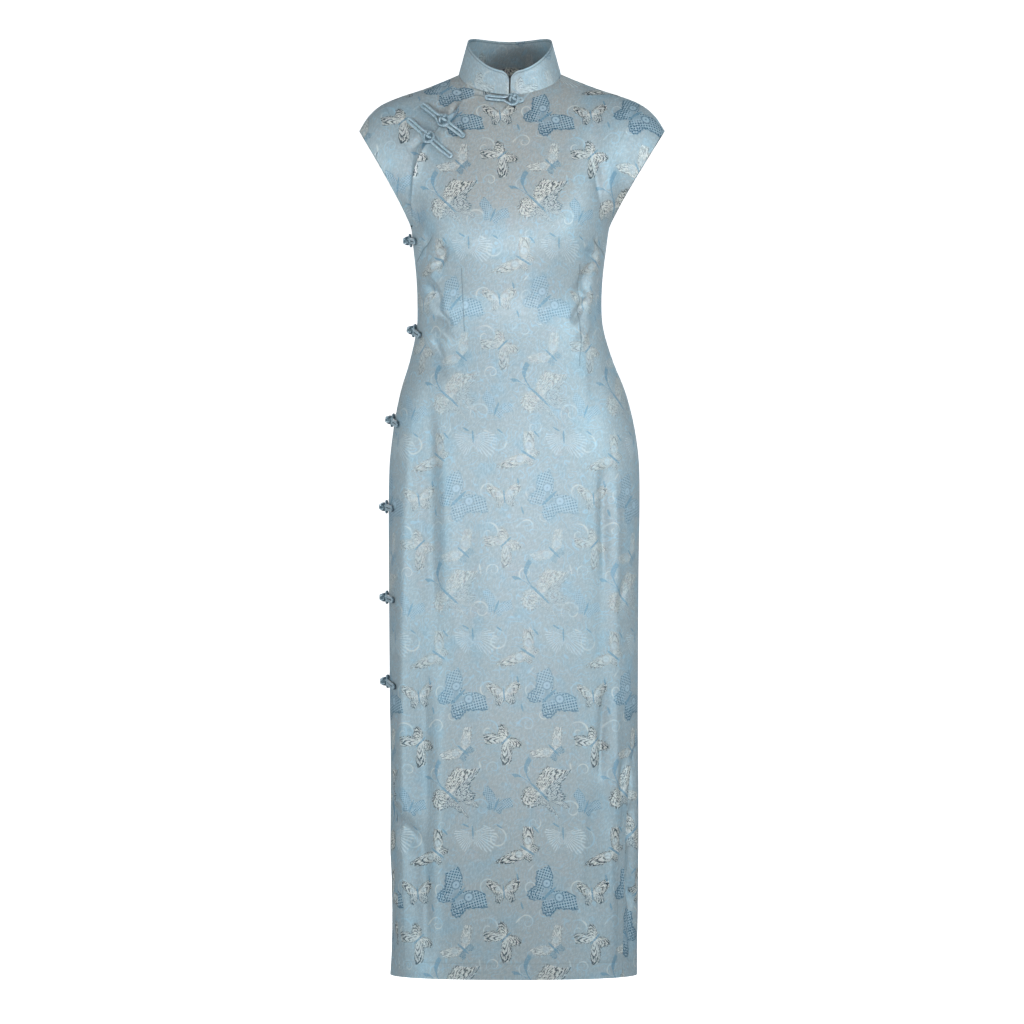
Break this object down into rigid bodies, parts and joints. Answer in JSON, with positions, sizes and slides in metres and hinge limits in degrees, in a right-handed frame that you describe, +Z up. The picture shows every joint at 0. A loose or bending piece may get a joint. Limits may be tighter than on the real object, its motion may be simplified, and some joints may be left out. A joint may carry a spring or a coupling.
{
  "type": "cheongsam dress",
  "caption": "Calf-length silk jacquard cheongsam in its hollow worn form: stand collar, cap sleeves, curved side opening with cord frog buttons, side slits.",
  "frame": {"origin": "middle of the neck, level with the high points of the shoulders, where the wearer holds the dress up", "axes": "+Z up from hem to collar, -Y the way the front faces, +X to the wearer's left"},
  "size_m": [0.423, 0.2423, 1.2959],
  "materials": {
    "jacquard": "pale blue silk satin with a woven butterfly jacquard",
    "collar": "the same jacquard over a stiffened stand collar",
    "cord": "knotted and laid cord of the same silk"
  },
  "bodies": {
    "root": {"front": "jacquard", "front_under": "jacquard", "back": "jacquard", "collar": "collar", "knot_neck": "cord", "loop_neck": "cord", "knot_collarbone": "cord", "loop_collarbone": "cord", "knot_chest": "cord", "loop_chest": "cord", "knot_underarm": "cord", "loop_underarm": "cord", "knot_waist": "cord", "loop_waist": "cord", "knot_upper_hip": "cord", "loop_upper_hip": "cord", "knot_hip": "cord", "loop_hip": "cord", "knot_thigh": "cord", "loop_thigh": "cord", "knot_slit": "cord", "loop_slit": "cord"}
  },
  "joints": []
}
